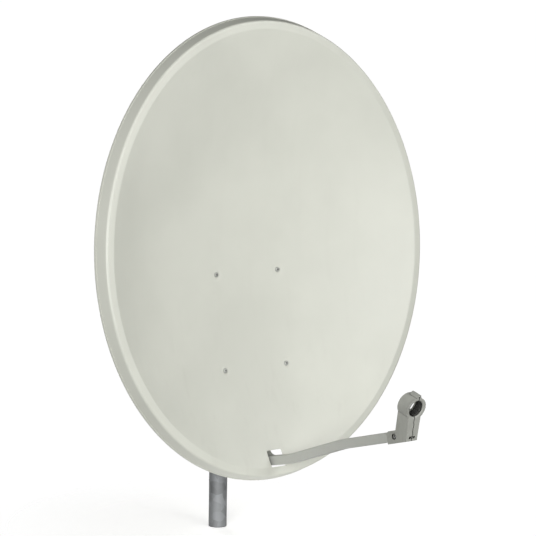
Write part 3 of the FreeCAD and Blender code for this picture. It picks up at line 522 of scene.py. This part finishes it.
def makeReflector():
    corners, triangles, rings = flatSheet()
    mesh, count = slabMesh(corners, triangles, rings)
    piece = newPiece("reflector_detail", mesh)
    sizes = {**bowlSizes, "Sheet": bowl["sheet"], "Crease softness": bowl["creaseSoftness"],
             "Dimple radius": bowl["dimpleRadius"], "Dimple depth": bowl["dimpleDepth"],
             "Finish": finishes["reflectorPaint"]}
    runTree(piece, bowlTree(sizes), sizes)
    addRim(piece, rings[0], count)
    piece.data.transform(toWorld)
    finishPiece(piece, "dish", "reflector_paint", "reflector")


makeReflector()


# Turned pieces: rings of (radius, height, share of a hexagon) closed by a point at each end
def hexagonReach(angle):
    # Radius of a hexagon of unit half width across its flats
    return 1 / math.cos((angle + math.pi / 6) % (math.pi / 3) - math.pi / 6)


turnedSteps = 48


def turnedMesh(name, rings):
    shape, count = bmesh.new(), turnedSteps
    loops = []
    for radius, height, share in rings:
        angles = [2 * math.pi * k / count for k in range(count)]
        reaches = [radius * (1 + share * (hexagonReach(a) - 1)) for a in angles]
        loops.append([shape.verts.new((r * math.cos(a), r * math.sin(a), height))
                      for a, r in zip(angles, reaches)])
    for first, second in zip(loops, loops[1:]):
        for k in range(count):
            following = (k + 1) % count
            shape.faces.new((first[k], first[following], second[following], second[k]))
    for loop, height in ((loops[0], rings[0][1]), (loops[-1], rings[-1][1])):
        pole = shape.verts.new((0, 0, height))
        for k in range(count):
            shape.faces.new((pole, loop[k], loop[(k + 1) % count]))
    bmesh.ops.recalc_face_normals(shape, faces=shape.faces)
    mesh = bpy.data.meshes.new(name)
    shape.to_mesh(mesh)
    shape.free()
    return mesh


thread = {"crest": 0.12, "flank": 0.5, "root": 0.62, "depth": 0.54, "endChamfer": 0.8}  # shares of the pitch


def threadRings(radius, pitch, top, bottom):
    # Ridges from top down to bottom, with a chamfered end
    rings = []
    turns = int((top - bottom - pitch) / pitch)
    for turn in range(turns):
        height = top - turn * pitch
        inner = radius - thread["depth"] * pitch
        rings += [(radius, height, 0), (radius, height - thread["crest"] * pitch, 0),
                  (inner, height - thread["flank"] * pitch, 0), (inner, height - thread["root"] * pitch, 0)]
    chamfer = thread["endChamfer"] * pitch
    return rings + [(radius, top - turns * pitch, 0), (radius, bottom + chamfer, 0),
                    (radius - chamfer, bottom, 0)]


# Reflector screws: domed heads with a hexagonal recess, square to the bowl
screw = {"headRadius": 0.0065, "headHeight": 0.0032, "rimHeight": 0.0009, "seat": 0.00015,
         "recess": 0.0021, "recessDepth": 0.0022, "shank": 0.003, "pitch": 0.001, "reach": 0.0123}


def screwMesh():
    radius, height, edge = screw["headRadius"], screw["headHeight"], screw["rimHeight"]
    rings = [(screw["recess"] * 0.7, height - screw["recessDepth"], 1),
             (screw["recess"], height - screw["recessDepth"] * 0.94, 1),
             (screw["recess"], height - 0.00035, 1), (screw["recess"] * 1.14, height - 0.00008, 0.8),
             (screw["recess"] * 1.35, height, 0)]
    for step in range(1, 8):
        angle = math.radians(90 * step / 7)
        start = screw["recess"] * 1.35
        rings.append((start + (radius - start) * math.sin(angle),
                      edge + (height - edge) * math.cos(angle), 0))
    rings += [(radius, screw["seat"] + 0.0002, 0), (radius - 0.0002, screw["seat"], 0),
              (screw["shank"], screw["seat"], 0)]
    rings += threadRings(screw["shank"], screw["pitch"], -0.0006, -screw["reach"])
    return turnedMesh("screwShape", rings)


def screwTree(sizes):
    start = newTree("screwRule", sizes)
    size = {name: start.also(name) for name in sizes}
    grid = start.node("GeometryNodeMeshGrid", {}, {"Size X": size["Screw span X"],
                                                   "Size Y": size["Screw span Z"],
                                                   "Vertices X": 2, "Vertices Y": 2})
    down = start.node("ShaderNodeCombineXYZ", {}, {"Z": -1 * size["Screw drop"]})
    upright = start.node("GeometryNodeTransform", {}, {"Geometry": grid, "Translation": down,
                                                       "Rotation": (math.pi / 2, 0, 0)})
    surface, normal = bowlSurface(size, False)[:2]
    spots = start.node("GeometryNodeSetPosition", {}, {"Geometry": upright, "Position": surface})
    aim = start.node("FunctionNodeAlignRotationToVector", {"axis": "Z"}, {"Vector": normal})
    shape = start.node("GeometryNodeObjectInfo", {}, {"Object": size["Screw"]}, "Geometry")
    placed = start.node("GeometryNodeInstanceOnPoints", {}, {"Points": spots, "Instance": shape,
                                                             "Rotation": aim})
    closeTree(placed, size["Finish"])
    return start.tree


def makeScrews():
    model = newPiece("screwShape", screwMesh())
    piece = newPiece("bowl_screws", bpy.data.meshes.new("bowl_screws"))
    sizes = {**bowlSizes, "Screw": model, "Finish": finishes["screwZinc"]}
    runTree(piece, screwTree(sizes), sizes)
    bpy.data.objects.remove(model)
    piece.data.transform(toWorld)
    finishPiece(piece, "dish", "zinc_fasteners", "reflector_screws")


makeScrews()


# Hexagon bolts: chamfered heads and rolled threads on the axes of the CAD bolts
bolts = {
    "pivot_bolts": {"body": "head", "diameter": 0.008, "pitch": 0.00125, "threaded": 0.013},
    "lock_bolts": {"body": "head", "diameter": 0.008, "pitch": 0.00125, "threaded": 0.013},
    "cheek_bolts": {"body": "dish", "diameter": 0.008, "pitch": 0.00125, "threaded": 0.0125},
    "arm_bolts": {"body": "dish", "diameter": 0.008, "pitch": 0.00125, "threaded": 0.016},
    "holder_bolt": {"body": "dish", "diameter": 0.006, "pitch": 0.001, "threaded": 0.012},
}


boltHead = {"halfFlats": 0.8125, "height": 0.65}  # shares of the diameter
axisPasses = 30


def islandsOf(node):
    # Corner points of each separate solid in a CAD node
    shape = bmesh.new()
    shape.from_mesh(node.data)
    bmesh.ops.remove_doubles(shape, verts=shape.verts, dist=weldReach)
    left = set(shape.verts)
    islands = []
    while left:
        front = [left.pop()]
        island = []
        while front:
            corner = front.pop()
            island.append(corner.co.copy())
            for edge in corner.link_edges:
                other = edge.other_vert(corner)
                if other in left:
                    left.remove(other)
                    front.append(other)
        islands.append(island)
    shape.free()
    return sorted(islands, key=lambda island: tuple(round(c, 4)
                                                    for c in sum(island, Vector()) / len(island)))


def boltAxis(corners, diameter):
    # The head's six corners stand furthest out, so the mean of far corners tells the head from the tip
    pairs = [(a, b) for a in corners[::3] for b in corners[::3]]
    first, last = max(pairs, key=lambda pair: (pair[0] - pair[1]).length)
    middle = (first + last) / 2
    axis = (last - first).normalized()
    for _ in range(axisPasses):
        ends = [[c for c in corners if side * (c - middle).dot(axis) > 0] for side in (-1, 1)]
        centres = []
        for end in ends:
            low = max(abs((c - middle).dot(axis)) for c in end)
            outermost = [c for c in end if abs((c - middle).dot(axis)) > low - 0.25 * diameter]
            centres.append(sum(outermost, Vector()) / len(outermost))
        axis = (centres[1] - centres[0]).normalized()
        middle = (centres[0] + centres[1]) / 2
    reach = [max((c - middle - axis * (c - middle).dot(axis)).length for c in end) for end in ends]
    if reach[0] < reach[1]:
        axis = -axis
    along = [(c - middle).dot(axis) for c in corners]
    return middle + axis * min(along), axis, max(along) - min(along)


def boltMesh(size, length):
    diameter, pitch = size["diameter"], size["pitch"]
    half, head = boltHead["halfFlats"] * diameter, boltHead["height"] * diameter
    rings = [(half * 0.3, head * 0.97, 0), (half * 0.93, head, 0), (half * 0.99, head * 0.965, 0.35),
             (half, head * 0.86, 1), (half, head * 0.08, 1), (half * 0.97, 0, 0.6), (diameter / 2, 0, 0)]
    tip = head - length
    rings.append((diameter / 2, tip + size["threaded"] + 0.0004, 0))
    rings += threadRings(diameter / 2, pitch, tip + size["threaded"], tip)
    return turnedMesh("boltShape", rings)


def boltTree(sizes):
    start = newTree("boltRule", sizes)
    aim = start.node("GeometryNodeInputNamedAttribute", {"data_type": "FLOAT_VECTOR"}, {"Name": "aim"})
    turn = start.node("FunctionNodeAlignRotationToVector", {"axis": "Z"}, {"Vector": aim})
    shape = start.node("GeometryNodeObjectInfo", {}, {"Object": start.also("Bolt")}, "Geometry")
    placed = start.node("GeometryNodeInstanceOnPoints", {}, {"Points": start, "Instance": shape,
                                                             "Rotation": turn})
    closeTree(placed, start.also("Finish"))
    return start.tree


def makeBolts(name, size):
    places = [boltAxis(island, size["diameter"]) for island in islandsOf(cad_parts[name])]
    head = boltHead["height"] * size["diameter"]
    mesh = bpy.data.meshes.new(name)
    mesh.from_pydata([top + axis * head for top, axis, length in places], [], [])
    aims = mesh.attributes.new("aim", "FLOAT_VECTOR", "POINT")
    for k, (top, axis, length) in enumerate(places):
        aims.data[k].vector = -axis
    model = newPiece("boltShape", boltMesh(size, places[0][2]))
    piece = newPiece(name + "_threaded", mesh)
    slotName = "holder_fasteners" if name == "holder_bolt" else "zinc_fasteners"
    sizes = {"Bolt": model, "Finish": finishes[slotFinish[slotName]]}
    runTree(piece, boltTree(sizes), sizes)
    bpy.data.objects.remove(model)
    finishPiece(piece, size["body"], slotName, name)


for name, size in bolts.items():
    makeBolts(name, size)


# Studio: pale floor, soft lights and the camera
studio = {
    "floorSize": 4, "floorSolid": 0.1, "floorGone": 0.8, "floorGlow": 0.72,
    "floorColour": (0.86, 0.86, 0.85, 1), "airGlow": (0.05, 0.02, 0.02), "backdropGlow": 1.02,
    "lens": 147.76, "distance": 5.596, "azimuth": 40.244, "elevation": 7.124, "roll": 0.899,
    "target": (-0.016, -0.21, 0.7139),
}
softboxes = {
    "leftFrontLight": {"from": (-3.7, -3.0, 1.0), "size": 2.0, "power": 164},
    "frontLight": {"from": (0, -4.8, 1.2), "size": 2.0, "power": 91},
    "rightHighLight": {"from": (2.4, -2.6, 3.0), "size": 2.0, "power": 56},
    "rearLight": {"from": (1.2, 4.2, 2.2), "size": 2.5, "power": 60},
}


def makeFloor():
    shape = bmesh.new()
    bmesh.ops.create_grid(shape, x_segments=8, y_segments=8, size=studio["floorSize"] / 2)
    mesh = bpy.data.meshes.new("studioFloor")
    shape.to_mesh(mesh)
    shape.free()
    floor = newPiece("studioFloor", mesh)
    material, shader, coords = newFinish("floorPaper", Base_Color=studio["floorColour"],
                                         Emission_Color=studio["floorColour"],
                                         Emission_Strength=studio["floorGlow"])
    plug(0.85 + 0.05 * noiseOn(coords, 3), shader, "Roughness")
    away = coords.node("ShaderNodeVectorMath", {"operation": "LENGTH"}, {0: coords}, "Value")
    plug(1 - smoothStep(away, studio["floorSolid"], studio["floorGone"]), shader, "Alpha")
    mesh.materials.append(material)


def makeLights():
    aim = Vector(studio["target"])
    for name, box in softboxes.items():
        lamp = bpy.data.lights.new(name, "AREA")
        lamp.energy, lamp.size = box["power"], box["size"]
        light = bpy.data.objects.new(name, lamp)
        light.location = box["from"]
        light.rotation_euler = (aim - light.location).to_track_quat("-Z", "Y").to_euler()
        bpy.context.scene.collection.objects.link(light)
    world = bpy.data.worlds.new("studioAir")
    world.use_nodes = True
    backdrop = world.node_tree.nodes["Background"]
    backdrop.inputs["Color"].default_value = (1, 1, 1, 1)
    # A white backdrop is seen; the air that lights the dish is bright round the horizon only
    ray = Wire(world.node_tree)
    seen = ray.node("ShaderNodeLightPath", {}, {}, "Is Camera Ray")
    up = ray.node("ShaderNodeTexCoord", {}, {}, "Generated")
    up = up.node("ShaderNodeSeparateXYZ", {}, {0: up}, "Z")
    above, below = smoothStep(up, 0.2, 0.6), 1 - smoothStep(up, -0.4, -0.1)
    level, top, bottom = studio["airGlow"]
    glow = level * (1 - above - below) + top * above + bottom * below
    plug(glow + seen * (studio["backdropGlow"] - glow), backdrop, "Strength")
    bpy.context.scene.world = world


def makeCamera():
    azimuth, elevation = math.radians(studio["azimuth"]), math.radians(studio["elevation"])
    forward = Vector((math.sin(azimuth) * math.cos(elevation), math.cos(azimuth) * math.cos(elevation),
                      -math.sin(elevation)))
    camera = bpy.data.cameras.new("mainView")
    camera.lens, camera.sensor_width = studio["lens"], 36
    camera.clip_start, camera.clip_end = 0.1, 200
    seat = bpy.data.objects.new("mainView", camera)
    roll = Matrix.Rotation(math.radians(studio["roll"]), 3, "Z")
    turn = forward.to_track_quat("-Z", "Y").to_matrix() @ roll
    place = Vector(studio["target"]) - forward * studio["distance"]
    seat.matrix_world = Matrix.Translation(place) @ turn.to_4x4()
    bpy.context.scene.collection.objects.link(seat)
    bpy.context.scene.camera = seat


makeFloor()
makeLights()
makeCamera()
bpy.context.scene.view_settings.view_transform = "Standard"
print("studio set")
